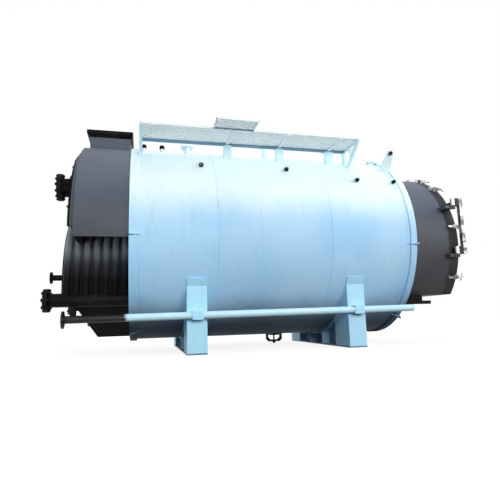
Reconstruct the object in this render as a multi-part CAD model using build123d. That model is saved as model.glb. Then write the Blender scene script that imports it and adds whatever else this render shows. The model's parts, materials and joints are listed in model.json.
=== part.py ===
from build123d import *
import math
import os

# Driving dimensions, in millimetres. X runs along the boiler, Y away from the door's hinge, Z up.
# A share is a part of the shell's radius, or of its length for places along the boiler.

# Shell
shell_radius = 1375.0
shell_length = 3860.0
shell_plate = 16.0
end_plate = 22.0
ground_clearance = 180.0
weld_gap = 0.3
cut_overrun = 5.0

# Rings round the shell's ends, with gusset plates against them
ring_rise = 25.0
ring_width = 90.0
gusset_plate = 14.0
gusset_length = 150.0
gusset_reach = 60.0
left_gusset_angles = (4.0, 65.0)
right_gusset_angles = (7.0, 55.0)

# Lifting lugs on both shoulders, the last of them a tall one
lug_plate = 16.0
lug_width = 90.0
lug_eye_radius = 17.0
lug_rise = 95.0
lug_base_share = 0.62
tall_lug_rise = 352.0
lug_place_shares = (0.235, 0.543, 0.806, 0.956, 0.9585)
lug_angles = (40.0, 40.0, 33.0, 33.0, 46.6)
lug_rises = (lug_rise, lug_rise, lug_rise, lug_rise, tall_lug_rise)

# Saddles
saddle_width = 250.0
saddle_base = 20.0
saddle_web = 16.0
saddle_rib = 12.0
saddle_place_shares = (0.2131, 0.7705)
saddle_rib_shares = (0.1818,)
wrapper_plate = 20.0
wrapper_half_angle = 63.4
post_face_share = 0.87273
post_depth_share = 0.32727

# Feed pipes along both sides
pipe_radius = 44.45
pipe_wall = 4.0
pipe_left_end = 729.0
pipe_right_margin = 59.0
pipe_drop_share = 0.792
pipe_rise = 42.0
pipe_flange_radius = 100.0
pipe_flange_thick = 20.0
pipe_bolt_circle = 160.0
pipe_bolt_count = 8
pipe_bolt_radius = 9.0
clip_width = 137.0
clip_plate = 8.0
clip_play = 2.0
drop_pipe_radius = 38.05
drop_pipe_place = 655.0
drop_bend_radius = 76.0

# Reversal chamber of bent tubes at the left end
tube_count = 7
tube_pitch = 114.0
tube_radius = 44.45
fin_plate = 8.0
arch_radius_share = 0.71127
arch_drop_share = 0.43927
chamber_wall = 60.0
header_radius = 84.15
header_drop_share = 0.61891
header_neck = 135.0
header_flange_radius = 142.5
header_flange_thick = 26.0
stub_radius = 36.5
stub_flange_radius = 75.0
stub_flange_thick = 20.0
stub_reach = 172.0
stub_side_share = 0.50909
stub_drop_share = 0.40218

# Ash hopper under the chamber
hopper_top_length = 700.0
hopper_foot_length = 415.0
hopper_foot_width_share = 0.55273
hopper_foot_drop_share = 0.96

# Left smokebox and its gas outlet
box_length = 620.0
box_plate = 8.0
box_ledge_share = 0.09455
box_shelf_lift = 180.0
box_end_plate = 10.0
cover_inset = 65.0
cover_thick = 45.0
cover_arch_margin = 60.0
outlet_left_margin = 30.0
outlet_right = 35.0
outlet_width_share = 0.43636
outlet_plate = 8.0
outlet_rise = 250.0
outlet_flange_height = 50.0
outlet_flange_width = 44.0
outlet_skirt_height = 45.0
outlet_skirt_foot = 6.0
hatch_side_share = 0.72727
hatch_rise_share = 0.39782
hatch_neck_radius = 109.5
hatch_neck = 162.0
hatch_flange_radius = 170.0
hatch_flange_thick = 26.0

# Walkways over both shoulders of the shell
deck_lift = 2.0
deck_inner_share = 0.54764
deck_outer_share = 0.91418
deck_left = 105.0
deck_right_margin = 700.0
deck_plate = 6.0
deck_edge_height = 20.0
deck_beam_height = 50.0
deck_beam_width = 12.0
arm_height = 30.0
arm_width = 40.0
leg_shares = (0.4003, 0.6562, 0.9121)
leg_width = 110.0
leg_depth = 50.0
end_leg_width = 40.0
strut_depth = 45.0
strut_foot_angle = 51.0
landing_shares = (0.27202, 0.4158)
landing_reach = 300.0

# Nozzles on the shell's crown, each with its rise above the crown
nozzle_wall = 6.0
nozzle_flange_thick = 24.0
nozzle_bolt_count = 8
nozzle_hole_play = 2.0
steam_share = 0.84067
steam_radius = 84.15
steam_rise = 325.0
steam_flange_radius = 142.5
steam_bolt_circle = 240.0
steam_bolt_radius = 11.0
safety_shares = (0.5487, 0.6114)
safety_radius = 57.15
safety_rise = 320.0
safety_flange_radius = 110.0
safety_bolt_circle = 180.0
safety_bolt_radius = 9.0
feed_share = 0.21503
feed_radius = 44.45
feed_rise = 217.0
feed_flange_radius = 100.0
vent_margin = 160.0
vent_radius = 57.15
vent_rise = 370.0
vent_flange_radius = 82.0
gauge_places = (165.0, 439.0)
gauge_radius = 30.15
gauge_rise = 190.0
hand_hole_margin = 158.0
hand_hole_angle = 66.0
hand_hole_radius = 62.0
hand_hole_rise = 62.0
hand_hole_cover_radius = 105.0
hand_hole_cover = 20.0

# Mud hole's bridge clamp under the shell, its depths as shares of the ground clearance
mud_hole_share = 0.557
mud_bridge_half = 122.0
mud_bridge_width = 60.0
mud_leg = 26.0
mud_bar = 28.0
mud_bar_share = 0.64
mud_taper = 36.0
mud_stud_radius = 12.0
mud_stud_share = 0.8
mud_nut_radius = 24.0
mud_nut = 18.0
mud_pad_radius = 82.0
mud_pad = 18.0

# Right smokebox with its hinged door
smoke_inset = 160.0
smoke_drop = 90.0
smoke_length = 724.0
smoke_plate = 8.0
smoke_floor_share = 0.62764
frame_width = 68.0
frame_thick = 14.0
door_inset = 10.0
door_gap = 6.0
door_thick = 82.0
hinge_rise_shares = (0.30545, -0.21455)
hinge_offset = 47.0
hinge_forward = 16.0
hinge_pin_radius = 15.0
hinge_clearance = 0.3
hinge_knuckle_radius = 30.0
hinge_knuckle_height = 110.0
hinge_lug_height = 45.0
hinge_lug_length = 128.0
hinge_lift = 1.0
hinge_bar_thick = 50.0
strap_length = 560.0
strap_height = 80.0
strap_thick = 12.0
dog_angles = (-25.0, 9.5, 46.0, 64.0, 82.0, 98.0, 116.0, 134.0, 152.0, 168.0, 185.0, 205.0)
dog_offset = 27.0
dog_block_width = 56.0
dog_block_height = 66.0
dog_bolt_radius = 12.0
dog_nut_radius = 22.0
dog_nut_height = 26.0
dog_reach = 88.0
dog_ear_length = 70.0
lower_bracket_share = 0.71636
lower_bracket_width = 90.0
lower_bracket_length = 250.0
lower_bracket_height = 132.0
lower_bracket_toe = 140.0
lower_bracket_toe_height = 48.0

# Places along the boiler, worked out from the sizes above
chamber_length = tube_count * tube_pitch
left_reach = chamber_length + header_neck + header_flange_thick + header_flange_thick
right_reach = smoke_length + door_gap + door_thick + dog_reach
far_out = left_reach + shell_length + right_reach
shell_left = left_reach - far_out / 2
shell_right = shell_left + shell_length
chamber_left = shell_left - chamber_length
box_left = shell_left - box_length
smoke_right = shell_right + smoke_length
door_left = smoke_right + door_gap
door_right = door_left + door_thick
hinge_x = smoke_right + hinge_forward
deck_x0 = shell_left + deck_left
deck_x1 = shell_right - deck_right_margin
landing_x0, landing_x1 = [shell_left + share * shell_length for share in landing_shares]
saddle_places = [shell_left + share * shell_length for share in saddle_place_shares]
steam_x = shell_left + steam_share * shell_length
safety_places = [shell_left + share * shell_length for share in safety_shares]

# Heights and sides, worked out from the shell's radius
axis_height = shell_radius + ground_clearance
crown_z = axis_height + shell_radius
ring_radius = shell_radius + ring_rise
shell_clear = shell_radius + weld_gap
wrapper_clear = shell_clear + wrapper_plate + weld_gap
post_face = post_face_share * shell_radius
post_inner = post_face - post_depth_share * shell_radius
pipe_side = post_face + pipe_radius + weld_gap
pipe_z = axis_height - pipe_drop_share * shell_radius
arch_radius = arch_radius_share * shell_radius
arch_axis_z = axis_height - arch_drop_share * shell_radius
tube_ring_radius = arch_radius - tube_radius
header_z = axis_height - header_drop_share * shell_radius
hopper_foot_z = axis_height - hopper_foot_drop_share * shell_radius
ledge_z = axis_height - box_ledge_share * shell_radius
shelf_z = ledge_z + box_shelf_lift
cover_radius = shell_radius - cover_inset
outlet_half = outlet_width_share * shell_radius / 2
outlet_top_z = crown_z + outlet_rise
hatch_y = -hatch_side_share * shell_radius
hatch_z = axis_height + hatch_rise_share * shell_radius
deck_z = crown_z + deck_lift
deck_inner = deck_inner_share * shell_radius
deck_outer = deck_outer_share * shell_radius
smoke_radius = shell_radius - smoke_inset
smoke_z = axis_height - smoke_drop
smoke_floor_z = axis_height - smoke_floor_share * shell_radius
door_radius = smoke_radius - door_inset
dog_radius = door_radius + dog_offset
hinge_side = smoke_radius + hinge_offset
hinge_levels = [axis_height + share * shell_radius for share in hinge_rise_shares]


def block(x0, x1, y0, y1, z0, z1):
    """A box between two corners."""
    place = Pos((x0 + x1) / 2, (y0 + y1) / 2, (z0 + z1) / 2)
    return place * Box(x1 - x0, y1 - y0, z1 - z0)


def rod_x(radius, x0, x1, y, z):
    """A round bar along X."""
    return Pos((x0 + x1) / 2, y, z) * Rot(0, 90, 0) * Cylinder(radius, x1 - x0)


def rod_z(radius, x, y, z0, z1):
    """A round bar along Z."""
    return Pos(x, y, (z0 + z1) / 2) * Cylinder(radius, z1 - z0)


def far(shape):
    """The same piece on the boiler's far side."""
    return shape.mirror(Plane.XZ)


def above(shape, z):
    """What of a shape lies above a level."""
    return shape - block(-far_out, far_out, -far_out, far_out, z - far_out, z)


def below(shape, z):
    """What of a shape lies below a level."""
    return shape - block(-far_out, far_out, -far_out, far_out, z, z + far_out)


def ring_x(outer, inner, x0, x1, z):
    """A round band along X, centred across the boiler."""
    return rod_x(outer, x0, x1, 0, z) - rod_x(inner, x0 - cut_overrun, x1 + cut_overrun, 0, z)


def bolt_holes(count, circle, radius, depth):
    """Holes on a circle about Z, centred on the XY plane."""
    turns = [360 / count * (step + 1 / 2) for step in range(count)]
    return [Rot(0, 0, turn) * Pos(circle / 2, 0, 0) * Cylinder(radius, depth) for turn in turns]


def save(name, *shapes):
    """Write one node, of one solid or of several that stand apart."""
    solids = [solid for shape in shapes for solid in shape.solids()]
    body = solids[0] if len(solids) == 1 else Compound(solids)
    export_step(body, f"parts/{name}.step")


def end_disc(x0, x1):
    """A flat end set inside the shell."""
    return rod_x(shell_radius - shell_plate - weld_gap, x0, x1, 0, axis_height)


def end_ring(x0, x1):
    """A band round the shell at one end."""
    return ring_x(ring_radius, shell_clear, x0, x1, axis_height)


def ring_gusset(angle):
    """A triangular plate on a left ring, at an angle below the axis, with the shell's end at zero."""
    tip = ring_radius + gusset_reach
    corners = [(0, -shell_radius), (0, -tip), (gusset_length, -shell_radius)]
    outline = make_face(Polyline(corners, close=True))
    plate = Pos(0, 0, -gusset_plate / 2) * extrude(outline, amount=gusset_plate)
    plate -= rod_x(shell_clear, -cut_overrun, gusset_length + cut_overrun, 0, 0)
    plate -= rod_x(ring_radius + weld_gap, -cut_overrun, ring_width + weld_gap, 0, 0)
    return Rot(angle, 0, 0) * plate


def ring_gussets():
    """All gussets of the near side."""
    left = [Pos(shell_left, 0, axis_height) * ring_gusset(angle) for angle in left_gusset_angles]
    right = [ring_gusset(angle).mirror(Plane.YZ) for angle in right_gusset_angles]
    return left + [Pos(shell_right, 0, axis_height) * plate for plate in right]


def lifting_lug(place_share, angle, rise):
    """A plate with an eye, standing on the shell's near shoulder."""
    x = shell_left + place_share * shell_length
    half = lug_width / 2
    foot = max(half, lug_base_share * rise / 2)
    eye_y = -(shell_radius + rise - half)
    foot_y = -shell_radius + lug_width
    corners = [(-foot, foot_y), (-half, eye_y), (half, eye_y), (foot, foot_y)]
    plate = extrude(make_face(Polyline(corners, close=True)), amount=lug_plate / 2, both=True)
    plate += Pos(0, eye_y, 0) * Cylinder(half, lug_plate)
    plate -= Pos(0, eye_y, 0) * Cylinder(lug_eye_radius, lug_plate + cut_overrun)
    plate -= rod_x(shell_clear, -shell_radius, shell_radius, 0, 0)
    ring_left = shell_right - ring_width - weld_gap - x
    plate -= rod_x(ring_radius + weld_gap, ring_left, ring_left + shell_radius, 0, 0)
    return Pos(x, 0, axis_height) * Rot(-angle, 0, 0) * plate


def clear_of_wrapper(shape, x):
    """What of a saddle's piece lies outside the curved wrapper plate."""
    return shape - rod_x(wrapper_clear, x - saddle_width, x + saddle_width, 0, axis_height)


def saddle_post(x):
    """The near post of a saddle, up to the wrapper."""
    half = saddle_width / 2
    post = block(x - half, x + half, -post_face, -post_inner, saddle_base, axis_height)
    return clear_of_wrapper(post, x)


def saddle_web_plate(x):
    """The cross plate between a saddle's two posts."""
    half = saddle_web / 2
    plate = block(x - half, x + half, -post_inner, post_inner, saddle_base, axis_height)
    return clear_of_wrapper(plate, x)


def saddle_ribs(x):
    """The upright ribs on both faces of a saddle's cross plate, near side."""
    half = saddle_width / 2
    web = saddle_web / 2
    ribs = []
    for share in saddle_rib_shares:
        y = -share * shell_radius
        for x0, x1 in ((x - half, x - web), (x + web, x + half)):
            rib = block(x0, x1, y - saddle_rib / 2, y + saddle_rib / 2, saddle_base, axis_height)
            ribs.append(clear_of_wrapper(rib, x))
    return ribs


def saddle_wrapper(x):
    """The curved plate between a saddle and the shell."""
    half = saddle_width / 2
    band = ring_x(shell_clear + wrapper_plate, shell_clear, x - half, x + half, axis_height)
    return below(band, axis_height - shell_clear * math.cos(math.radians(wrapper_half_angle)))


def saddle_base_plate(x):
    """The flat plate a saddle stands on."""
    half = saddle_width / 2
    return block(x - half, x + half, -post_face, post_face, 0, saddle_base)


pipe_length = pipe_left_end + shell_length - pipe_right_margin
pipe_slope = math.degrees(math.atan2(pipe_rise, pipe_length))


def pipe_frame():
    """The near pipe's own frame: at its flange's face, with Z along the pipe."""
    return Pos(shell_left - pipe_left_end, -pipe_side, pipe_z) * Rot(0, 90 - pipe_slope, 0)


def pipe_level(x):
    """Height of the pipe's centre at a place along the boiler."""
    along = (x - shell_left + pipe_left_end) / pipe_length
    return pipe_z + pipe_rise * along


def feed_pipe():
    """The near pipe with its flange, open at both ends."""
    run = pipe_length / math.cos(math.radians(pipe_slope))
    pipe = Pos(0, 0, run / 2) * Cylinder(pipe_radius, run)
    pipe += Pos(0, 0, pipe_flange_thick / 2) * Cylinder(pipe_flange_radius, pipe_flange_thick)
    pipe -= Pos(0, 0, run / 2) * Cylinder(pipe_radius - pipe_wall, run + cut_overrun)
    depth = 2 * (pipe_flange_thick + cut_overrun)
    for hole in bolt_holes(pipe_bolt_count, pipe_bolt_circle, pipe_bolt_radius, depth):
        pipe -= hole
    return pipe_frame() * pipe


def pipe_clip(x):
    """A bent strap that holds the near pipe on a saddle's post."""
    half = clip_width / 2
    z = pipe_level(x)
    room = pipe_radius + clip_play
    grip = room + clip_plate
    depth = pipe_radius + room + weld_gap
    front = -post_face - depth
    strap = block(x - half, x + half, front - clip_plate, -post_face, z - grip, z + grip)
    return strap - block(x - clip_width, x + clip_width, front, -post_face + room, z - room, z + room)


def drop_pipe():
    """The bent pipe from the near header's underside out to the long pipe."""
    x = shell_left - drop_pipe_place
    side = tube_ring_radius
    level = pipe_level(x)
    corners = [(x, -side, header_z), (x, -side, level), (x, -pipe_side, level)]
    path = FilletPolyline(*corners, radius=drop_bend_radius)
    pipe = sweep(Plane(path @ 0, z_dir=path % 0) * Circle(drop_pipe_radius), path)
    pipe -= rod_x(header_radius + weld_gap, chamber_left, shell_left, -side, header_z)
    room = pipe_frame() * Pos(0, 0, pipe_length / 2) * Cylinder(pipe_radius + weld_gap, pipe_length)
    return pipe - room


def membrane_arch():
    """Bent tubes joined by fins, from one header over to the other."""
    middle = (chamber_left + shell_left) / 2
    section = Pos(middle, -tube_ring_radius, arch_axis_z) * Rectangle(chamber_length, fin_plate)
    for step in range(tube_count):
        x = chamber_left + tube_pitch * (step + 1 / 2)
        section += Pos(x, -tube_ring_radius, arch_axis_z) * Circle(tube_radius)
    arch = revolve(section, Axis((0, 0, arch_axis_z), (-1, 0, 0)), 180)
    leg = extrude(section, amount=arch_axis_z - header_z, dir=(0, 0, -1))
    header_room = rod_x(header_radius + weld_gap, chamber_left - cut_overrun, shell_left + cut_overrun,
                        -tube_ring_radius, header_z)
    leg -= header_room
    return arch + leg + far(leg)


def header():
    """The near header pipe with the flange on its free end."""
    flange_left = chamber_left - header_neck - header_flange_thick
    flange_right = flange_left + header_flange_thick
    pipe = rod_x(header_radius, flange_right, shell_left, -tube_ring_radius, header_z)
    return pipe + rod_x(header_flange_radius, flange_left, flange_right, -tube_ring_radius, header_z)


def header_blind():
    """The blank flange on the near header."""
    right = chamber_left - header_neck - header_flange_thick
    return rod_x(header_flange_radius, right - header_flange_thick, right, -tube_ring_radius, header_z)


def chamber_end_wall():
    """The flat end of the reversal chamber, inside the first tube's bend."""
    inner = arch_radius - tube_radius - tube_radius - weld_gap
    right = chamber_left + chamber_wall
    wall = rod_x(inner, chamber_left, right, 0, arch_axis_z)
    side = tube_ring_radius - header_radius - weld_gap
    wall = above(wall, arch_axis_z)
    return wall + block(chamber_left, right, -side, side, header_z, arch_axis_z)


def drain_stub():
    """A short flanged pipe on the chamber's end wall."""
    left = chamber_left - stub_reach
    y = -stub_side_share * shell_radius
    z = axis_height - stub_drop_share * shell_radius
    stub = rod_x(stub_radius, left + stub_flange_thick, chamber_left, y, z)
    return stub + rod_x(stub_flange_radius, left, left + stub_flange_thick, y, z)


def ash_hopper():
    """The tapered trough under the chamber, between the headers."""
    top_half = tube_ring_radius - header_radius - weld_gap
    top_middle = shell_left - hopper_top_length / 2
    foot_middle = shell_left - hopper_foot_length / 2
    top = Pos(top_middle, 0, header_z) * Rectangle(hopper_top_length, 2 * top_half)
    foot = Pos(foot_middle, 0, hopper_foot_z)
    foot *= Rectangle(hopper_foot_length, hopper_foot_width_share * shell_radius)
    return loft([foot, top], ruled=True)


def arch_room(margin):
    """The space the bent tubes take, with a margin."""
    return rod_x(arch_radius + margin, -far_out, far_out, 0, arch_axis_z)


def left_smokebox_shell():
    """The half-round skin of the left smokebox with its two inner shelves and the outlet's hole."""
    skin = ring_x(shell_radius, shell_radius - box_plate, box_left, shell_left, axis_height)
    skin = above(skin, ledge_z)
    shelf = rod_x(shell_radius - box_plate / 2, box_left, shell_left, 0, axis_height)
    skin += below(above(shelf, shelf_z), shelf_z + box_plate)
    skin -= arch_room(weld_gap)
    x0, x1, half = outlet_span()
    return skin - block(x0, x1, -half, half, axis_height, axis_height + far_out)


def outlet_span():
    """The outlet's outer faces: left, right and half width."""
    return box_left + outlet_left_margin, shell_left - outlet_right, outlet_half


def left_smokebox_end():
    """The end plate of the left smokebox, cut round the bent tubes."""
    plate = rod_x(shell_radius, box_left - box_end_plate, box_left, 0, axis_height)
    return above(plate, ledge_z) - arch_room(weld_gap)


def left_smokebox_cover():
    """The raised cover on the left smokebox's end plate."""
    right = box_left - box_end_plate
    plate = rod_x(cover_radius, right - cover_thick, right, 0, axis_height)
    return above(plate, axis_height) - arch_room(cover_arch_margin)


def outlet_neck():
    """The straight duct that carries the gas out of the left smokebox."""
    x0, x1, half = outlet_span()
    top = outlet_top_z
    neck = block(x0, x1, -half, half, axis_height, top)
    wall = outlet_plate
    room = half - wall
    neck -= block(x0 + wall, x1 - wall, -room, room, axis_height - cut_overrun, top + cut_overrun)
    inner = shell_radius - box_plate
    return neck - rod_x(inner, x0 - cut_overrun, x1 + cut_overrun, 0, axis_height)


def outlet_flange():
    """The frame round the outlet's mouth, with a sloping skirt under it."""
    x0, x1, half = outlet_span()
    low = outlet_top_z - outlet_flange_height
    w = outlet_flange_width
    frame = block(x0 - w, x1 + w, -half - w, half + w, low, outlet_top_z)
    length = x1 - x0
    middle = Pos((x0 + x1) / 2, 0, low)
    rim = middle * Rectangle(length + 2 * w, 2 * half + 2 * w)
    foot = Rectangle(length + 2 * outlet_skirt_foot, 2 * half + 2 * outlet_skirt_foot)
    frame += loft([middle * Pos(0, 0, -outlet_skirt_height) * foot, rim], ruled=True)
    return frame - block(x0, x1, -half, half, axis_height, outlet_top_z + cut_overrun)


def inspection_nozzle():
    """A short wide neck with a flange on the near side of the smokebox's cover."""
    right = box_left - box_end_plate - cover_thick
    left = right - hatch_neck
    neck = rod_x(hatch_neck_radius, left + hatch_flange_thick, right, hatch_y, hatch_z)
    return neck + rod_x(hatch_flange_radius, left, left + hatch_flange_thick, hatch_y, hatch_z)


def inspection_blind():
    """The blank flange on the near inspection nozzle."""
    right = box_left - box_end_plate - cover_thick - hatch_neck
    return rod_x(hatch_flange_radius, right - hatch_flange_thick, right, hatch_y, hatch_z)


def walkway():
    """The near walkway: a deck plate with a low outer edge, a deep inner beam and two end beams."""
    low = deck_z - deck_beam_height
    w = deck_beam_width
    deck = block(deck_x0, deck_x1, -deck_outer, -deck_inner, deck_z - deck_plate, deck_z)
    deck += block(deck_x0, deck_x1, -deck_outer, -deck_outer + w, deck_z - deck_edge_height, deck_z)
    deck += block(deck_x0, deck_x1, -deck_inner - w, -deck_inner, low, deck_z)
    deck += block(deck_x0, deck_x0 + w, -deck_outer, -deck_inner, low, deck_z)
    return deck + block(deck_x1 - w, deck_x1, -deck_outer, -deck_inner, low, deck_z)


def landing():
    """The short platform out from the near walkway's edge."""
    low = deck_z - deck_edge_height
    y0 = -deck_outer - landing_reach
    w = deck_beam_width
    plate = block(landing_x0, landing_x1, y0, -deck_outer, deck_z - deck_plate, deck_z)
    plate += block(landing_x0, landing_x1, y0, y0 + w, low, deck_z)
    plate += block(landing_x0, landing_x0 + w, y0, -deck_outer, low, deck_z)
    return plate + block(landing_x1 - w, landing_x1, y0, -deck_outer, low, deck_z)


def leg_places():
    """Where the walkways' wide legs stand, from the left to the right."""
    return [deck_x0 + share * (deck_x1 - deck_x0) for share in leg_shares]


def end_leg_places():
    """Where the narrow legs and the struts stand at the walkways' two ends."""
    return deck_x0 + end_leg_width / 2, deck_x1 - end_leg_width / 2


def walkway_arm(x):
    """A cross bar under the near deck's plate, between its outer edge and its inner beam."""
    half = arm_width / 2
    top = deck_z - deck_plate
    y0 = -deck_outer + deck_beam_width
    return block(x - half, x + half, y0, -deck_inner - deck_beam_width, top - arm_height, top)


def walkway_leg(x, width):
    """A flat leg under the near deck's inner edge, standing on the shell."""
    half = width / 2
    top = deck_z - deck_beam_height
    leg = block(x - half, x + half, -deck_inner - leg_depth, -deck_inner, axis_height, top)
    return leg - rod_x(shell_clear, x - width, x + width, 0, axis_height)


def walkway_strut(x):
    """A raking flat bar from the deck's outer edge down to the shell."""
    top = deck_z - deck_beam_height
    angle = math.radians(strut_foot_angle)
    foot_y = -shell_radius * math.cos(angle)
    foot_z = axis_height + shell_radius * math.sin(angle) - strut_depth
    corners = [(-deck_outer, top), (-deck_outer + strut_depth, top), (foot_y + strut_depth, foot_z),
               (foot_y, foot_z)]
    outline = make_face(Polyline([(0, y, z) for y, z in corners], close=True))
    left = x - end_leg_width / 2
    bar = Pos(left, 0, 0) * extrude(outline, amount=end_leg_width, dir=(1, 0, 0))
    return bar - rod_x(shell_clear, x - end_leg_width, x + end_leg_width, 0, axis_height)


def shell_barrel():
    """The shell's plate, open under the crown's open nozzles."""
    barrel = ring_x(shell_radius, shell_radius - shell_plate, shell_left, shell_right, axis_height)
    bores = [(steam_x, steam_radius)] + [(x, safety_radius) for x in safety_places]
    for x, radius in bores:
        barrel -= rod_z(radius - nozzle_wall + nozzle_hole_play, x, 0, axis_height, crown_z + cut_overrun)
    return barrel


def blank_nozzle(x, radius, rise, flange_radius):
    """An upright neck with a blanked flange on the shell's crown."""
    top = crown_z + rise
    neck = rod_z(radius, x, 0, axis_height, top)
    neck += rod_z(flange_radius, x, 0, top - nozzle_flange_thick, top)
    return neck - rod_x(shell_clear, x - shell_radius, x + shell_radius, 0, axis_height)


def open_nozzle(x, radius, rise, flange_radius, bolt_circle, bolt_radius):
    """The same neck, bored through and drilled for bolts."""
    top = crown_z + rise
    neck = blank_nozzle(x, radius, rise, flange_radius)
    neck -= rod_z(radius - nozzle_wall, x, 0, axis_height, top + cut_overrun)
    depth = 2 * (nozzle_flange_thick + cut_overrun)
    for hole in bolt_holes(nozzle_bolt_count, bolt_circle, bolt_radius, depth):
        neck -= Pos(x, 0, top) * hole
    return neck


def gauge_stub(place):
    """A plain closed stub on the shell's crown."""
    x = shell_left + place
    stub = rod_z(gauge_radius, x, 0, axis_height, crown_z + gauge_rise)
    return stub - rod_x(shell_clear, x - shell_radius, x + shell_radius, 0, axis_height)


def hand_hole():
    """A covered opening on the near shoulder, square to the shell."""
    top = shell_radius + hand_hole_rise
    neck = rod_z(hand_hole_radius, 0, 0, 0, top)
    neck -= rod_x(shell_clear, -shell_radius, shell_radius, 0, 0)
    cover = rod_z(hand_hole_cover_radius, 0, 0, top - hand_hole_cover, top)
    place = Pos(shell_right - hand_hole_margin, 0, axis_height) * Rot(90 - hand_hole_angle, 0, 0)
    return place * (neck + cover)


def mud_strap(half, low, width):
    """A block with its two lower corners cut off, from a level up into the shell."""
    foot = half - mud_taper
    high = low + mud_taper
    right = [(foot, low), (half, high), (half, axis_height)]
    left = [(-x, z) for x, z in reversed(right)]
    corners = left + right
    outline = make_face(Polyline([(x, 0, z) for x, z in corners], close=True))
    return extrude(outline, amount=width / 2, dir=(0, 1, 0), both=True)


def mud_hole_bridge():
    """The mud hole's cover pad under the shell, with the bridge, stud and nut that hold it."""
    x = shell_left + mud_hole_share * shell_length
    low = ground_clearance * (1 - mud_bar_share)
    bridge = mud_strap(mud_bridge_half, low, mud_bridge_width)
    bridge -= mud_strap(mud_bridge_half - mud_leg, low + mud_bar, mud_bridge_width + cut_overrun)
    bridge = Pos(x, 0, 0) * bridge
    bridge += rod_z(mud_stud_radius, x, 0, ground_clearance * (1 - mud_stud_share), axis_height)
    bridge += rod_z(mud_nut_radius, x, 0, low - mud_nut, low)
    bridge += rod_z(mud_pad_radius, x, 0, ground_clearance - mud_pad, axis_height)
    return bridge - rod_x(shell_clear, x - shell_radius, x + shell_radius, 0, axis_height)


def smoke_form(radius, floor_z, x0, x1):
    """A round bar along X cut flat underneath."""
    return above(rod_x(radius, x0, x1, 0, smoke_z), floor_z)


def fixed_hinge(z):
    """A lug on the smokebox with an upright pin."""
    low = z - hinge_lug_height
    outer = -hinge_side - hinge_knuckle_radius
    back = smoke_right - door_gap
    lug = block(back - hinge_lug_length, back, outer, -smoke_radius / 2, low, z)
    lug -= rod_x(smoke_radius - smoke_plate / 2, shell_right, smoke_right, 0, smoke_z)
    lug += block(back, hinge_x, outer, -hinge_side + hinge_knuckle_radius, low, z)
    lug += rod_z(hinge_knuckle_radius, hinge_x, -hinge_side, low, z)
    return lug + rod_z(hinge_pin_radius, hinge_x, -hinge_side, low, z + hinge_knuckle_height + hinge_lift)


def right_smokebox_shell():
    """The skin and floor of the right smokebox, with the hinge lugs on its near side."""
    skin = smoke_form(smoke_radius, smoke_floor_z, shell_right, smoke_right)
    skin -= smoke_form(smoke_radius - smoke_plate, smoke_floor_z + smoke_plate,
                       shell_right - cut_overrun, smoke_right + cut_overrun)
    for level in hinge_levels:
        skin += fixed_hinge(level)
    return skin


def door_frame():
    """The flat rim inside the smokebox's mouth that the door shuts against."""
    outer = smoke_radius - smoke_plate - weld_gap
    floor = smoke_floor_z + smoke_plate
    left = smoke_right - frame_thick
    rim = smoke_form(outer, floor, left, smoke_right)
    inner = outer - frame_width
    return rim - smoke_form(inner, floor + frame_width, left - cut_overrun, smoke_right + cut_overrun)


def door_hinge(z):
    """A knuckle round the pin, with the strap that carries the door."""
    low = z + hinge_lift
    top = low + hinge_knuckle_height
    inner = -hinge_side + strap_length
    arm = block(hinge_x, door_right + strap_thick, -hinge_side - hinge_knuckle_radius,
                -hinge_side + hinge_knuckle_radius, low, top)
    arm += rod_z(hinge_knuckle_radius, hinge_x, -hinge_side, low, top)
    middle = (low + top) / 2
    strap = block(door_right, door_right + strap_thick, -hinge_side, inner,
                  middle - strap_height / 2, middle + strap_height / 2)
    room_radius = hinge_pin_radius + hinge_clearance
    pin_room = rod_z(room_radius, hinge_x, -hinge_side, low - cut_overrun, top + cut_overrun)
    return arm + strap - pin_room


def hinge_bar():
    """The upright bar across the ends of the door's two hinge arms."""
    left = door_right + strap_thick
    low = min(hinge_levels) + hinge_lift
    top = max(hinge_levels) + hinge_lift + hinge_knuckle_height
    return block(left, left + hinge_bar_thick, -hinge_side - hinge_knuckle_radius,
                 -hinge_side + hinge_knuckle_radius, low, top)


def smokebox_door():
    """The thick door with a flat foot and its two hinge straps."""
    door = smoke_form(door_radius, smoke_floor_z + door_gap, door_left, door_right)
    for level in hinge_levels:
        door += door_hinge(level)
    return door


def door_dog(angle):
    """A clamp block on the door's edge with its bolt and nut."""
    half = dog_block_width / 2
    inner = door_radius + weld_gap
    nut_left = door_left + dog_block_height
    piece = block(door_left, nut_left, -dog_radius - half, -door_radius + half, -half, half)
    piece += rod_x(dog_bolt_radius, door_left, door_right + dog_reach, -dog_radius, 0)
    piece += rod_x(dog_nut_radius, nut_left, nut_left + dog_nut_height, -dog_radius, 0)
    piece -= rod_x(inner, door_left - cut_overrun, door_right + dog_reach + cut_overrun, 0, 0)
    return Pos(0, 0, smoke_z) * Rot(-angle, 0, 0) * piece


def dog_ear(angle):
    """The block on the smokebox's edge opposite a door clamp."""
    half = dog_block_width / 2
    inner = smoke_radius + weld_gap
    right = smoke_right - door_gap
    left = right - dog_ear_length
    piece = block(left, right, -dog_radius - half, -smoke_radius + half, -half / 2, half / 2)
    piece -= rod_x(inner, left - cut_overrun, right + cut_overrun, 0, 0)
    return Pos(0, 0, smoke_z) * Rot(-angle, 0, 0) * piece


def lower_bracket():
    """The near bracket low on the right end, with its forward toe."""
    y0 = -lower_bracket_share * shell_radius - lower_bracket_width / 2
    y1 = y0 + lower_bracket_width
    x1 = shell_right + lower_bracket_length
    foot = smoke_floor_z - lower_bracket_height
    piece = block(shell_right, x1, y0, y1, foot, smoke_floor_z)
    return piece + block(x1, x1 + lower_bracket_toe, y0, y1, foot, foot + lower_bracket_toe_height)


def both(shapes):
    """Pieces of the near side with their copies on the far side."""
    return shapes + [far(shape) for shape in shapes]


os.makedirs("parts", exist_ok=True)

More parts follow.
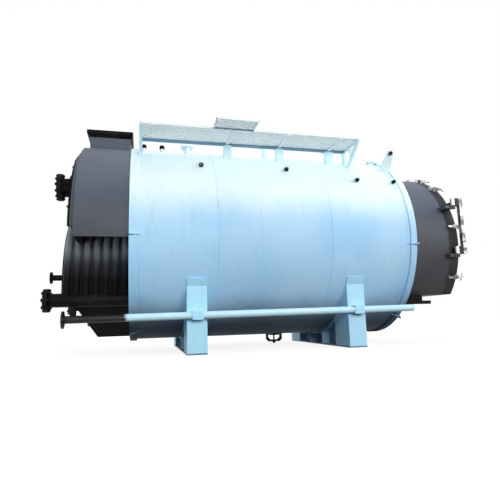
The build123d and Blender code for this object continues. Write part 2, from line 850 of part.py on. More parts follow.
save("shell_barrel", shell_barrel())
save("end_plates", end_disc(shell_left, shell_left + end_plate),
     end_disc(shell_right - end_plate, shell_right))
save("end_rings", end_ring(shell_left, shell_left + ring_width),
     end_ring(shell_right - ring_width, shell_right))
save("ring_gussets", *both(ring_gussets()))
lug_table = zip(lug_place_shares, lug_angles, lug_rises)
save("lifting_lugs", *both([lifting_lug(share, angle, rise) for share, angle, rise in lug_table]))

save("saddle_bases", *[saddle_base_plate(x) for x in saddle_places])
save("saddle_posts", *both([saddle_post(x) for x in saddle_places]))
save("saddle_webs", *[saddle_web_plate(x) for x in saddle_places])
save("saddle_ribs", *both([rib for x in saddle_places for rib in saddle_ribs(x)]))
save("saddle_wrappers", *[saddle_wrapper(x) for x in saddle_places])

save("near_feed_pipe", feed_pipe())
save("far_feed_pipe", far(feed_pipe()))
save("pipe_clips", *both([pipe_clip(x) for x in saddle_places]))
save("drop_pipes", *both([drop_pipe()]))

save("membrane_arch", membrane_arch())
save("headers", *both([header()]))
save("blank_flanges", *both([header_blind(), inspection_blind()]))
save("chamber_end_wall", chamber_end_wall())
save("drain_stub", drain_stub())
save("ash_hopper", ash_hopper())

save("left_smokebox_shell", left_smokebox_shell())
save("left_smokebox_end", left_smokebox_end())
save("left_smokebox_cover", left_smokebox_cover())
save("outlet_neck", outlet_neck())
save("outlet_flange", outlet_flange())
save("inspection_nozzles", *both([inspection_nozzle()]))

save("near_walkway", walkway())
save("far_walkway", far(walkway()))
save("walkway_landings", *both([landing()]))
wide_legs = [walkway_leg(x, leg_width) for x in leg_places()]
end_legs = [walkway_leg(x, end_leg_width) for x in end_leg_places()]
save("walkway_legs", *both(wide_legs + end_legs))
save("walkway_arms", *both([walkway_arm(x) for x in leg_places()]))
save("walkway_struts", *both([walkway_strut(x) for x in end_leg_places()]))

steam_sizes = (steam_radius, steam_rise, steam_flange_radius, steam_bolt_circle, steam_bolt_radius)
safety_sizes = (safety_radius, safety_rise, safety_flange_radius, safety_bolt_circle, safety_bolt_radius)
save("steam_nozzle", open_nozzle(steam_x, *steam_sizes))
save("safety_nozzles", *[open_nozzle(x, *safety_sizes) for x in safety_places])
feed_x = shell_left + feed_share * shell_length
save("feed_nozzle", blank_nozzle(feed_x, feed_radius, feed_rise, feed_flange_radius))
save("vent_nozzle", blank_nozzle(shell_right - vent_margin, vent_radius, vent_rise, vent_flange_radius))
save("gauge_stubs", *[gauge_stub(place) for place in gauge_places])
save("hand_hole", hand_hole())
save("mud_hole_bridge", mud_hole_bridge())

save("right_smokebox_shell", right_smokebox_shell())
save("door_frame", door_frame())
save("smokebox_door", smokebox_door())
save("door_dogs", hinge_bar(), *[door_dog(angle) for angle in dog_angles])
save("dog_ears", *[dog_ear(angle) for angle in dog_angles])
save("lower_bracket", lower_bracket())
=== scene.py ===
import json
import math
from collections import namedtuple

import bpy
from mathutils import Matrix, Vector


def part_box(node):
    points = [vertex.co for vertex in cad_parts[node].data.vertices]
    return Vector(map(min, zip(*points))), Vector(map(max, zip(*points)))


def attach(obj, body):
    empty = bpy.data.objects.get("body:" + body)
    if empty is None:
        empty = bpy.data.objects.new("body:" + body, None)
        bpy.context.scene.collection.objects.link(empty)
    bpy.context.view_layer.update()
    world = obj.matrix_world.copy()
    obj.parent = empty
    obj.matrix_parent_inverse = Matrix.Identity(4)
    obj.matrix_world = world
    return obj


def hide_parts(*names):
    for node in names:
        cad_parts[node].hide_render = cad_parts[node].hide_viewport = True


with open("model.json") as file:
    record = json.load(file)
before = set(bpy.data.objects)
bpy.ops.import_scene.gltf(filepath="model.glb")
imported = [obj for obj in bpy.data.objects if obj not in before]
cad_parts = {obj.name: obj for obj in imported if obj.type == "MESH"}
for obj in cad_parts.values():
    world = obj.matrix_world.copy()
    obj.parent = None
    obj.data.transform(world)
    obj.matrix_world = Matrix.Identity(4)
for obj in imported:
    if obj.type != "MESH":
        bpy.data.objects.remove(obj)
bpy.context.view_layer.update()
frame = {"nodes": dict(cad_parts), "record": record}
bpy.ops.object.select_all(action="DESELECT")

LEFTWARD, RIGHTWARD = Vector((-1, 0, 0)), Vector((1, 0, 0))
BACKWARD, UPWARD = Vector((0, 1, 0)), Vector((0, 0, 1))
DOWNWARD = -UPWARD

# Main places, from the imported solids, in metres
SHELL_LOW, SHELL_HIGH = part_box("shell_barrel")
SHELL_LEFT, SHELL_RIGHT = SHELL_LOW.x, SHELL_HIGH.x
SHELL_RADIUS = (SHELL_HIGH.z - SHELL_LOW.z) / 2
AXIS_Z = (SHELL_HIGH.z + SHELL_LOW.z) / 2
DECK_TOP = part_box("near_walkway")[1].z
BOX_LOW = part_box("left_smokebox_shell")[0]
COVER_LOW, COVER_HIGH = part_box("left_smokebox_cover")
HATCHES_LOW, HATCHES_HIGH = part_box("inspection_nozzles")
HATCH_Z = (HATCHES_LOW.z + HATCHES_HIGH.z) / 2
WALL_LOW, WALL_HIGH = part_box("chamber_end_wall")
DOOR_LOW, DOOR_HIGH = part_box("smokebox_door")
DOOR_RADIUS = DOOR_HIGH.y
DOOR_AXIS_Z = DOOR_HIGH.z - DOOR_RADIUS
DOGS_LOW, DOGS_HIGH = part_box("door_dogs")
SMOKE_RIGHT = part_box("door_frame")[1].x
SMOKE_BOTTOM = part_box("right_smokebox_shell")[0].z

# Bolts and nuts: radius, height, and how far the stud stands out
Fastener = namedtuple("Fastener", "radius height stud")
HEADER_BOLT = Fastener(0.021, 0.014, 0.006)
HEADER_NUT = Fastener(0.021, 0.016, 0.006)
HATCH_BOLT = Fastener(0.019, 0.014, 0.006)
NOZZLE_NUT = Fastener(0.012, 0.014, 0.010)
COVER_BOLT = Fastener(0.016, 0.014, 0.006)
LEAF_BOLT = Fastener(0.016, 0.016, 0.012)
DOG_NUT = Fastener(0.028, 0.034, 0.004)
PORT_BOLT = Fastener(0.012, 0.042, 0.006)
BAR_BOLT = Fastener(0.018, 0.016, 0.014)
STUD_INSET_SHARE = 0.4

# Weld seams, and black lug bushes that stand as painted shade in the eyes
MIDDLE_SEAM_X, RIGHT_SEAM_X = SHELL_LEFT + 1.095, SHELL_LEFT + 2.62
SEAM_RADIUS = 0.006
BUSH_BORE, BUSH_RADIUS, BUSH_LENGTH = 0.0165, 0.030, 0.044

# Flanges and caps
FLANGE_THICK = 0.026
HEADER_FLANGE_RADIUS, HEADER_CIRCLE, HEADER_BOLT_COUNT = 0.1425, 0.120, 8
HATCH_FLANGE_RADIUS, HATCH_CIRCLE, HATCH_BOLT_COUNT = 0.170, 0.1475, 12
NOZZLE_FLANGE_THICK, NOZZLE_NUT_COUNT = 0.024, 8
FEED_CIRCLE, VENT_CIRCLE = 0.080, 0.070
CAP_WALL, CAP_HEIGHT, CAP_GRIP = 0.008, 0.055, 0.045

# Walkways
RIM_WIDTH, RIM_DROP = 0.012, 0.020
DECK_PLATE, DECK_SETBACK = 0.006, 0.002
HOLE_CELL, HOLE_CORNERS = 0.032, 8
HOLE_MARGIN_SHARE, HOLE_CORNER_SHARE = 0.08, 0.24
BEAM_EDGE, BEAM_FLANGE, BEAM_HOLLOW = 0.0015, 0.008, 0.006

# Left end
CHAMBER_PITCH = 0.114
GUSSET_LENGTH, GUSSET_HEIGHT, GUSSET_THICK, GUSSET_EDGE = 0.13, 0.03, 0.010, 0.0012
GUSSET_FOOT_RADIUS, GUSSET_COUNT = 0.108, 8
COVER_MARGIN, COVER_RIM_WIDTH, COVER_RIM_DEPTH, COVER_RIM_LIFT = 0.045, 0.075, 0.035, 0.01
COVER_BOLT_INSET, COVER_BOLT_COUNT = 0.035, 17
COVER_BOLT_TURN, COVER_BOLT_START = math.radians(172), math.radians(184)
LIP_PROUD, LIP_DEPTH, LIP_BELOW, LIP_ABOVE, LIP_CLEAR = 0.003, 0.03, 0.004, 0.014, 0.004
HANGER_LOW, HANGER_HIGH = Vector((-0.022, 0.010, -0.100)), Vector((-0.004, 0.045, 0.030))
LEAF_THICK, LEAF_HALF_WIDTH, LEAF_DOWN, LEAF_UP, LEAF_EDGE = 0.022, 0.42, 0.30, 0.26, 0.006
PANEL_MARGIN, PANEL_RISE = 0.06, 0.012
LEAF_BAR_FRONT, LEAF_BAR_BACK, LEAF_BAR_HALF_HEIGHT = 0.05, 0.03, 0.012
LEAF_BAR_RISES = (-0.14, 0.10)
LEAF_BOLT_SIDES, LEAF_BOLT_RISES = (-0.39, -0.13, 0.13, 0.39), (-0.27, 0.23)

# Right smokebox and its door, with the clamps' angles in degrees from the near side
TUBE_PITCH, TUBE_FIELD = 0.11, 0.81
TUBE_BORE, TUBE_RADIUS, TUBE_STAND, TUBE_EDGE = 0.025, 0.031, 0.014, 0.001
LINING_RADIUS, LINING_THICK, LINING_EDGE, LINING_LIFT = 1.07, 0.05, 0.012, 0.11
LINING_STEP, LINING_RISE = 0.05, 0.015
DOG_ANGLES = (-25, 9.5, 46, 64, 82, 98, 116, 134, 152, 168, 185, 205)
DOG_OFFSET, DOG_NUT_SEAT = 0.027, 0.066
TOMMY_RADIUS, TOMMY_LENGTH, TOMMY_SETBACK, TOMMY_EDGE = 0.008, 0.13, 0.022, 0.002
PORT_BORE, PORT_RADIUS, PORT_DEPTH, PORT_EDGE = 0.07, 0.12, 0.03, 0.004
PORT_CIRCLE, PORT_BOLT_COUNT = 0.098, 8
PORT_SEAT, PORT_RISE = 0.082, 0.15
GLASS_RADIUS, GLASS_THICK = 0.071, 0.012
KNUCKLE_RISES, KNUCKLE_HEIGHT = (0.421, -0.294), 0.110
SLEEVE_BORE, SLEEVE_RADIUS, SLEEVE_MARGIN = 0.0305, 0.037, 0.003
HINGE_BAR_STAND = 0.05
BAR_BOLT_SHARES = (0.25, 0.75)

# Steps round a turn
FINE_STEPS, PORT_STEPS, SLEEVE_STEPS, CAP_STEPS = 96, 40, 32, 24
BUSH_STEPS, THIN_STEPS, BEAD_STEPS = 16, 10, 8

# Eased edges, and the angles in degrees past which an edge shades sharp
PLATE_EDGE, RING_EDGE = 0.003, 0.0015
HEX_SHARP, PLATE_SHARP, ROUND_SHARP = 20, 30, 35

# How faces are told apart: how squarely one looks along an axis, a wide one's area, a hidden one's height
FACING, WIDE_FACE, HIDDEN_BELOW = 0.9, 0.01, 0.0005
MERGE_GAP = 0.00002

# Camera, fitted to the photograph, with its angles in radians
CAMERA_PLACE = Vector((-1.7093, -6.6948, 0.4213))
CAMERA_YAW, CAMERA_PITCH, CAMERA_ROLL = 0.2391, 0.1545, 0.0292
FOCAL_PIXELS, IMAGE_PIXELS, SENSOR_MM = 440.226, 500, 36.0

# Sky and floor, and lamps with their place, the point they face, their size and their power in watts
WHITE, SKY_TINT, SKY_LEVEL = (1.0, 1.0, 1.0, 1.0), (0.86, 0.95, 1.0, 1.0), 0.20
FLOOR_SIZE, FLOOR_GLOW, FLOOR_LIT, FLOOR_BOUNCE = 60, 0.86, 0.22, 0.04
FADE_START, FADE_END = 3.0, 8.0
LAMPS = (
    ("overhead", (0.3, -0.6, 9.5), (0.1, 0.0, 1.5), (6, 4), 310),
    ("front", (1.5, -11.0, 3.9), (0.0, 0.0, 1.5), (8, 4), 870),
    ("right", (11.0, -4.0, 4.5), (1.5, 0.0, 1.5), (5, 4), 500),
    ("left", (-11.0, 3.5, 4.5), (-1.5, 0.0, 1.5), (5, 4), 520),
    ("chamber", (-4.2, -3.2, 1.1), (-2.2, -1.0, 1.5), (1.0, 0.8), 22),
    ("back", (-1.5, 11.0, 4.5), (0.0, 0.0, 1.5), (8, 4), 390),
)

# Colours
RUST = (0.16, 0.055, 0.022)
# Grime for streaks, also used as painted shade underneath, and a darker painted shade for the belly
GRIME_AND_SHADE = (0.075, 0.09, 0.115)
BELLY_SHADE = (0.032, 0.040, 0.060)
DUST = (0.42, 0.39, 0.34)
# Soot black, which also stands as painted shade on the chamber's tubes
SOOT_AND_SHADE = (0.004, 0.004, 0.005)
TRODDEN = (0.30, 0.44, 0.54)
# The paler colours are faded paint; on parts high on the boiler they also stand as painted sunlight
SHELL_BLUE, SHELL_FADED_AND_LIT = (0.36, 0.66, 0.93), (0.77, 0.92, 0.96)
SECOND_PLATE_TINT = (0.46, 0.48, 0.70)
FRAME_BLUE, FRAME_BLEACHED = (0.44, 0.79, 0.99), (0.52, 0.82, 0.96)
# The deck colours are near white as painted glare; the deck's own paint is a mid blue
DECK_GLARE_PALE, DECK_GLARE_FADED_AND_LIT = (0.88, 0.97, 0.99), (0.92, 0.98, 0.99)
# A dark blue as painted shade on the deck beams and the saddles' webs and bases
BEAM_SHADE_BLUE, BEAM_SHADE_FADED_AND_LIT = (0.16, 0.30, 0.44), (0.22, 0.38, 0.52)
PIPE_BLUE, PIPE_FADED_AND_LIT = (0.56, 0.84, 0.96), (0.64, 0.88, 0.96)
SMOKE_GREY, SMOKE_WORN, SMOKE_DARK_LOW = (0.080, 0.098, 0.132), (0.102, 0.118, 0.150), (0.040, 0.038, 0.044)
DRIED_BITUMEN = (0.012, 0.012, 0.014)
# The palest tube grey is painted light on the tubes' tops under the smokebox
TUBE_GREY, TUBE_DUSTY, TUBE_PAINTED_LIGHT = (0.065, 0.070, 0.078), (0.080, 0.085, 0.094), (0.40, 0.42, 0.46)
# The bright steel colour is partly rubbed steel and partly painted glints
FORGED_BLACK, RUBBED_BRIGHT_AND_GLINT = (0.02, 0.02, 0.022), (0.62, 0.63, 0.64)
PLATE_SOOT, PLATE_SCALE = (0.030, 0.026, 0.024), (0.085, 0.052, 0.036)
CLAY, CLAY_SOOTED, CLAY_CRACK = (0.42, 0.35, 0.26), (0.10, 0.085, 0.07), (0.03, 0.025, 0.02)


# Shaders

class Wire:
    """One shader socket; sums and products of it add Math nodes."""

    def __init__(self, finish, socket):
        self.finish = finish
        self.socket = socket

    def __add__(self, other):
        return self.finish.math("ADD", self, other)

    def __sub__(self, other):
        return self.finish.math("SUBTRACT", self, other)

    def __rsub__(self, other):
        return self.finish.math("SUBTRACT", other, self)

    def __mul__(self, other):
        return self.finish.math("MULTIPLY", self, other)

    __radd__ = __add__
    __rmul__ = __mul__


class Finish:
    """A material being made: its nodes, and the shader they feed."""

    def __init__(self, name, **constants):
        self.material = bpy.data.materials.new(name)
        self.material.use_nodes = True
        self.tree = self.material.node_tree
        self.shader = self.tree.nodes["Principled BSDF"]
        for socket, value in constants.items():
            self.shader.inputs[socket.replace("_", " ")].default_value = value
        self.place = self.node("ShaderNodeTexCoord", output="Object")
        self.x, self.y, self.z = [self.node("ShaderNodeSeparateXYZ", inputs={0: self.place}, output=axis)
                                  for axis in "XYZ"]

    def node(self, kind, settings=None, inputs=None, output=0):
        """Any node: its type, its settings, and the values or links of its sockets."""
        made = self.tree.nodes.new(kind)
        for name, value in (settings or {}).items():
            setattr(made, name, value)
        for socket, value in (inputs or {}).items():
            self.feed(made.inputs[socket], value)
        return Wire(self, made.outputs[output])

    def feed(self, socket, value):
        """Link a wire to a socket, or set the socket's own value."""
        if isinstance(value, Wire):
            self.tree.links.new(value.socket, socket)
        elif socket.type == "RGBA" and len(value) == 3:
            socket.default_value = (*value, 1)
        else:
            socket.default_value = value

    def math(self, operation, a, b):
        """One Math node on two values."""
        return self.node("ShaderNodeMath", {"operation": operation}, {0: a, 1: b})

    def noise(self, scale, detail=4.0, stretch=(1, 1, 1)):
        """Noise over the object, finer along the axes that are stretched more."""
        place = self.node("ShaderNodeMapping", inputs={"Vector": self.place, "Scale": stretch})
        return self.node("ShaderNodeTexNoise", inputs={"Vector": place, "Scale": scale, "Detail": detail})

    def ease(self, value, low, high):
        """Zero below low, one above high, smooth between."""
        return self.node("ShaderNodeMapRange", {"interpolation_type": "SMOOTHSTEP"},
                         {"Value": value, "From Min": low, "From Max": high})

    def from_door_axis(self):
        """How far a point lies from the line through the middle of the door."""
        up = self.z - DOOR_AXIS_Z
        return self.math("POWER", self.y * self.y + up * up, 0.5)

    def mix(self, share, a, b):
        """From colour a to colour b."""
        return self.node("ShaderNodeMix", {"data_type": "RGBA"}, {0: share, 6: a, 7: b}, 2)

    def surface(self, colour, roughness, height, depth):
        """Send what varies to the shader, with a bump of that depth in metres."""
        self.feed(self.shader.inputs["Base Color"], colour)
        self.feed(self.shader.inputs["Roughness"], roughness)
        bump = self.node("ShaderNodeBump", inputs={"Height": height, "Distance": depth, "Strength": 1.0})
        self.feed(self.shader.inputs["Normal"], bump)
        return self.material


def blue_enamel(name, colour, faded_and_lit, shade_below=0.1, trodden=0.0):
    """Paint on plate: faded in patches, paler on top as painted sunlight, darker underneath as painted
    shade, streaked, chipped, worn where feet tread.
    """
    paint = Finish(name, Specular_IOR_Level=0.12)
    cloud = paint.noise(1.1, 5.0)
    # Paler on top: painted sunlight turns the upper part to the paler colour
    top = paint.ease(paint.z + 0.3 * cloud, AXIS_Z + 0.15, AXIS_Z + 0.75)
    # The next two masks paint shade under the shell, darkest at its belly
    under = paint.ease(paint.z + 0.3 * cloud, AXIS_Z - 0.6, AXIS_Z - 1.1)
    shaded_belly = paint.ease(paint.z + 0.1 * cloud, AXIS_Z - 0.95, AXIS_Z - 1.25)
    second_plate = paint.ease(paint.x, MIDDLE_SEAM_X, MIDDLE_SEAM_X + 0.01)
    streak = paint.ease(paint.noise(1.0, 5.0, (17, 17, 0.9)), 0.52, 0.8)
    chip = paint.ease(paint.noise(46.0, 3.0) + 0.25 * paint.noise(2.3, 3.0), 0.87, 0.90)
    tread = trodden * paint.ease(paint.z, DECK_TOP - 0.004, DECK_TOP - 0.001) * paint.noise(3.0, 5.0)
    tone = paint.mix(0.2 * paint.ease(cloud, 0.35, 0.65), colour, faded_and_lit)
    tone = paint.mix(top, tone, faded_and_lit)
    tone = paint.mix(0.12 * second_plate * (1 - top), tone, SECOND_PLATE_TINT)
    # Grime in streaks, and painted shade underneath
    tone = paint.mix(0.10 * streak + shade_below * under, tone, GRIME_AND_SHADE)
    tone = paint.mix(shade_below * shaded_belly, tone, BELLY_SHADE)
    tone = paint.mix(tread, tone, TRODDEN)
    tone = paint.mix(chip, tone, RUST)
    roughness = 0.45 + 0.1 * top + 0.1 * streak + 0.2 * chip + 0.3 * shade_below * shaded_belly
    height = 0.8 * paint.noise(2.6, 2.0) + 0.03 * paint.noise(160.0, 2.0) - 0.12 * chip
    return paint.surface(tone, roughness, height, 0.006)


def heat_paint():
    """Flat heat-resisting paint: slate grey on top, darker lower down, black round the door."""
    paint = Finish("smokebox_grey", Specular_IOR_Level=0.3)
    blotch = paint.ease(paint.noise(1.7, 6.0), 0.4, 0.68)
    run = paint.ease(paint.noise(1.0, 5.0, (13, 13, 0.8)), 0.5, 0.8)
    # Darker towards the bottom
    low = paint.ease(paint.z + 0.3 * paint.noise(2.1, 4.0), AXIS_Z + 1.0, AXIS_Z - 0.5)
    stain = paint.ease(paint.noise(4.5, 6.0) + 0.12 * low, 0.66, 0.8)
    rim = paint.ease(paint.x + 0.02 * paint.noise(6.0, 3.0), SMOKE_RIGHT - 0.08, SMOKE_RIGHT - 0.05)
    rim = rim * paint.ease(paint.from_door_axis(), DOOR_RADIUS - 0.16, DOOR_RADIUS - 0.08)
    tone = paint.mix(0.5 * blotch, SMOKE_GREY, SMOKE_WORN)
    tone = paint.mix(0.04 * run, tone, DUST)
    tone = paint.mix(low, tone, SMOKE_DARK_LOW)
    tone = paint.mix(0.12 * stain, tone, RUST)
    tone = paint.mix(0.95 * rim, tone, SOOT_AND_SHADE)
    roughness = 0.5 + 0.15 * blotch + 0.1 * stain
    height = 0.6 * paint.noise(3.0, 3.0) + 0.08 * paint.noise(70.0, 4.0)
    return paint.surface(tone, roughness, height, 0.006)


def black_bitumen():
    """Thick black paint with a dull shine, a little greyer where it has dried out."""
    paint = Finish("black_bitumen", Specular_IOR_Level=0.06)
    dry = paint.ease(paint.noise(2.6, 6.0), 0.42, 0.7)
    fleck = paint.ease(paint.noise(60.0, 3.0), 0.64, 0.72)
    tone = paint.mix(dry, SOOT_AND_SHADE, DRIED_BITUMEN)
    tone = paint.mix(0.12 * fleck * dry, tone, DUST)
    height = 0.5 * paint.noise(9.0, 3.0) + 0.06 * paint.noise(120.0, 2.0)
    return paint.surface(tone, 0.42 + 0.2 * dry + 0.15 * fleck, height, 0.004)


def tube_paint():
    """Dull grey on the chamber's tubes, paler under the smokebox as painted light, darker between the
    tubes and black towards their feet as painted shade.
    """
    paint = Finish("tube_paint", Specular_IOR_Level=0.06)
    # Black towards the tubes' feet: painted shade where they curve under
    low = paint.ease(paint.z + 0.12 * paint.noise(3.0, 4.0), BOX_LOW.z + 0.02, BOX_LOW.z - 0.46)
    # Paler just under the smokebox: painted light against the smokebox's shadow
    high = paint.ease(paint.z, BOX_LOW.z - 0.30, BOX_LOW.z)
    dust = paint.ease(paint.noise(8.0, 4.0, (1, 1, 0.2)), 0.45, 0.7)
    # Darker between the tubes: painted shade in the valleys
    off_crest = paint.math("PINGPONG", paint.x - (SHELL_LEFT - CHAMBER_PITCH / 2), CHAMBER_PITCH / 2)
    valley_shade = paint.ease(off_crest, 0.028, 0.050)
    tone = paint.mix(dust, TUBE_GREY, TUBE_DUSTY)
    tone = paint.mix(0.7 * high, tone, TUBE_PAINTED_LIGHT)
    tone = paint.mix(0.5 * valley_shade, tone, SOOT_AND_SHADE)
    tone = paint.mix(low, tone, SOOT_AND_SHADE)
    return paint.surface(tone, 0.6 + 0.15 * dust, paint.noise(60.0, 3.0), 0.002)


def worn_steel(name, shine):
    """Blackened forged steel, brown in its hollows, with bright patches that are partly rubbed steel and
    partly painted glints.
    """
    steel = Finish(name, IOR=2.0)
    brown = steel.ease(steel.noise(9.0, 6.0), 0.52, 0.7)
    # Bright patches, partly rubbed steel and partly painted glints; shine adds more of them
    bright = steel.ease(steel.noise(10.0, 2.0) + shine, 0.44, 0.62)
    tone = steel.mix(bright, FORGED_BLACK, RUBBED_BRIGHT_AND_GLINT)
    tone = steel.mix(0.3 * brown, tone, RUST)
    steel.feed(steel.shader.inputs["Metallic"], 0.8 * bright * (1 - brown))
    return steel.surface(tone, 0.4 + 0.3 * brown, steel.noise(85.0, 4.0), 0.002)


def half_painted_pipe():
    """The long pipes: black beside the chamber, blue along the shell."""
    paint = Finish("half_painted_pipe", Specular_IOR_Level=0.3)
    wander = 0.06 * paint.noise(11.0, 3.0)
    is_blue = paint.ease(paint.x + wander, SHELL_LEFT - 0.02, SHELL_LEFT + 0.04)
    fade = paint.ease(paint.noise(2.0, 5.0), 0.4, 0.66)
    spot = paint.ease(paint.noise(38.0, 3.0), 0.74, 0.78)
    tone = paint.mix(is_blue, SOOT_AND_SHADE, paint.mix(fade, PIPE_BLUE, PIPE_FADED_AND_LIT))
    tone = paint.mix(spot, tone, RUST)
    return paint.surface(tone, 0.35 + 0.2 * fade + 0.2 * spot, paint.noise(50.0, 3.0), 0.002)


def end_plate_paint():
    """Blue on the end plates, soot and rust where a smokebox covers them."""
    paint = Finish("end_plate_paint", Specular_IOR_Level=0.25)
    at_right = paint.ease(paint.x, SHELL_RIGHT - 0.1, SHELL_RIGHT - 0.05)
    in_right = paint.ease(paint.from_door_axis(), DOOR_RADIUS + 0.004, DOOR_RADIUS - 0.004)
    in_right = in_right * paint.ease(paint.z, SMOKE_BOTTOM - 0.004, SMOKE_BOTTOM + 0.004)
    in_left = paint.ease(paint.z, BOX_LOW.z - 0.004, BOX_LOW.z + 0.004)
    covered = in_right * at_right + in_left * (1 - at_right)
    cake = paint.ease(paint.noise(5.0, 6.0), 0.4, 0.7)
    inside = paint.mix(cake, PLATE_SOOT, PLATE_SCALE)
    tone = paint.mix(covered, SHELL_BLUE, inside)
    return paint.surface(tone, 0.5 + 0.35 * covered, paint.noise(40.0, 5.0) * covered, 0.003)


def fire_clay():
    """Buff refractory lining, cracked and sooted."""
    clay = Finish("fire_clay", IOR=1.4)
    soot = clay.ease(clay.noise(2.0, 6.0), 0.35, 0.7)
    crack = clay.node("ShaderNodeTexVoronoi", {"feature": "DISTANCE_TO_EDGE"},
                      {"Vector": clay.place, "Scale": 5.0})
    gap = 1 - clay.ease(crack, 0.0, 0.025)
    tone = clay.mix(soot, CLAY, CLAY_SOOTED)
    tone = clay.mix(0.7 * gap, tone, CLAY_CRACK)
    return clay.surface(tone, 0.85 + 0.1 * soot, clay.noise(45.0, 5.0) - 0.6 * gap, 0.004)


# The record's slots, and the nodes with a finish of their own
finishes = {
    # Strong painted shade under the shell; none on the saddles
    "shell_paint": blue_enamel("shell_enamel", SHELL_BLUE, SHELL_FADED_AND_LIT, 0.7),
    "saddle_paint": blue_enamel("saddle_enamel", FRAME_BLUE, FRAME_BLEACHED, 0.0),
    # Decks and landings near white as painted glare
    "walkway_paint": blue_enamel("walkway_enamel", DECK_GLARE_PALE, DECK_GLARE_FADED_AND_LIT, trodden=1.6),
    "smokebox_paint": heat_paint(),
    "black_paint": black_bitumen(),
    "bare_steel": worn_steel("worn_steel", 0.04),
}
leg_finish = blue_enamel("leg_enamel", PIPE_BLUE, PIPE_FADED_AND_LIT)
# Painted shade: the dark blue for the beams and the saddles' inner parts
shade_blue_finish = blue_enamel("painted_shade_enamel", BEAM_SHADE_BLUE, BEAM_SHADE_FADED_AND_LIT)
# A brighter steel for the hinge sleeves, as a painted highlight on the knuckles
sleeve_glint_finish = worn_steel("rubbed_and_glinting_steel", 0.25)
pipe_finish = half_painted_pipe()
lining_finish = fire_clay()
node_finishes = {
    "near_feed_pipe": pipe_finish,
    "far_feed_pipe": pipe_finish,
    "membrane_arch": tube_paint(),
    "end_plates": end_plate_paint(),
    "lower_bracket": finishes["black_paint"],
    # The saddles' webs and bases are dark blue as painted shade
    "saddle_webs": shade_blue_finish,
    "saddle_bases": shade_blue_finish,
    "walkway_legs": leg_finish,
    "walkway_struts": leg_finish,
    "gauge_stubs": finishes["shell_paint"],
    "safety_nozzles": finishes["shell_paint"],
}


# Modelling tools

def edit_all():
    """Edit the active piece with everything selected."""
    bpy.ops.object.mode_set(mode="EDIT")
    bpy.ops.mesh.select_all(action="SELECT")


def object_mode():
    """Leave edit mode."""
    bpy.ops.object.mode_set(mode="OBJECT")


def choose(piece, test):
    """Edit a piece with just the faces selected that pass a test."""
    edit_all()
    bpy.ops.mesh.select_mode(type="FACE")
    bpy.ops.mesh.select_all(action="DESELECT")
    object_mode()
    for face in piece.data.polygons:
        face.select = test(face)
    bpy.ops.object.mode_set(mode="EDIT")


def drop_faces():
    """Delete the chosen faces and leave edit mode."""
    bpy.ops.mesh.delete(type="FACE")
    object_mode()


def step_faces(inset, shift):
    """Inset the chosen faces and move their inner part."""
    bpy.ops.mesh.inset(thickness=inset)
    bpy.ops.mesh.extrude_region_move(TRANSFORM_OT_translate={"value": shift})


def cut_off(place, outward):
    """Cut the active piece at a plane, drop what lies outward of it and close the cut."""
    edit_all()
    bpy.ops.mesh.bisect(plane_co=place, plane_no=outward, clear_outer=True, use_fill=True)
    object_mode()


def close_up():
    """Merge doubled points, turn the faces outward and leave edit mode."""
    bpy.ops.mesh.select_all(action="SELECT")
    bpy.ops.mesh.remove_doubles(threshold=MERGE_GAP)
    bpy.ops.mesh.normals_make_consistent(inside=False)
    object_mode()


def settle(name=None, scale=None):
    """The active object, with its place, turn and size taken into its mesh."""
    piece = bpy.context.active_object
    if name:
        piece.name = name
    if scale:
        piece.scale = scale
    bpy.ops.object.transform_apply(location=True, rotation=True, scale=True)
    return piece


def only(piece):
    """Make one piece the selected and active one."""
    bpy.ops.object.select_all(action="DESELECT")
    piece.select_set(True)
    bpy.context.view_layer.objects.active = piece


def block(name, low, high, edge=PLATE_EDGE):
    """A bar or plate between two corners, with its edges eased."""
    low, high = Vector(low), Vector(high)
    bpy.ops.mesh.primitive_cube_add(size=1, location=(low + high) / 2, scale=high - low)
    piece = settle(name)
    edit_all()
    bpy.ops.mesh.bevel(offset=edge, segments=2)
    object_mode()
    return piece


def ring(name, inner, outer, length, steps, edge=RING_EDGE):
    """A turned band about Z that stands on the XY plane."""
    bpy.ops.mesh.primitive_plane_add(size=1, location=((inner + outer) / 2, 0, length / 2),
                                     rotation=(math.pi / 2, 0, 0))
    piece = settle(name, (outer - inner, length, 1))
    edit_all()
    bpy.ops.mesh.bevel(offset=edge, affect="VERTICES")
    bpy.ops.mesh.select_all(action="SELECT")
    bpy.ops.mesh.delete(type="ONLY_FACE")
    bpy.ops.mesh.select_all(action="SELECT")
    bpy.ops.mesh.spin(steps=steps, angle=math.tau, center=(0, 0, 0), axis=UPWARD)
    close_up()
    return piece


def disc(name, radius, length, steps, edge=PLATE_EDGE):
    """A round plate about Z that stands on the XY plane, with eased rims."""
    bpy.ops.mesh.primitive_cylinder_add(vertices=steps, radius=radius, depth=length,
                                        location=(0, 0, length / 2))
    piece = settle(name)
    choose(piece, lambda face: abs(face.normal.z) > FACING)
    bpy.ops.mesh.bevel(offset=edge, segments=2)
    object_mode()
    return piece


def copies_round(count, turn=math.tau):
    """Copy what is being edited evenly about Z, over a whole turn or from end to end of a part of one."""
    step = turn / count if turn == math.tau else turn / (count - 1)
    bpy.ops.mesh.select_all(action="SELECT")
    bpy.ops.mesh.spin(steps=count - 1, dupli=True, angle=step * (count - 1), center=(0, 0, 0), axis=UPWARD)


def bolts(name, circle_radius, count, fastener, turn=math.tau):
    """Hex nuts with their stud ends on a circle about Z."""
    bpy.ops.mesh.primitive_cylinder_add(vertices=6, radius=fastener.radius, depth=fastener.height,
                                        location=(circle_radius, 0, fastener.height / 2))
    piece = settle(name)
    choose(piece, lambda face: face.normal.z > FACING)
    step_faces(STUD_INSET_SHARE * fastener.radius, (0, 0, fastener.stud))
    copies_round(count, turn)
    object_mode()
    return piece


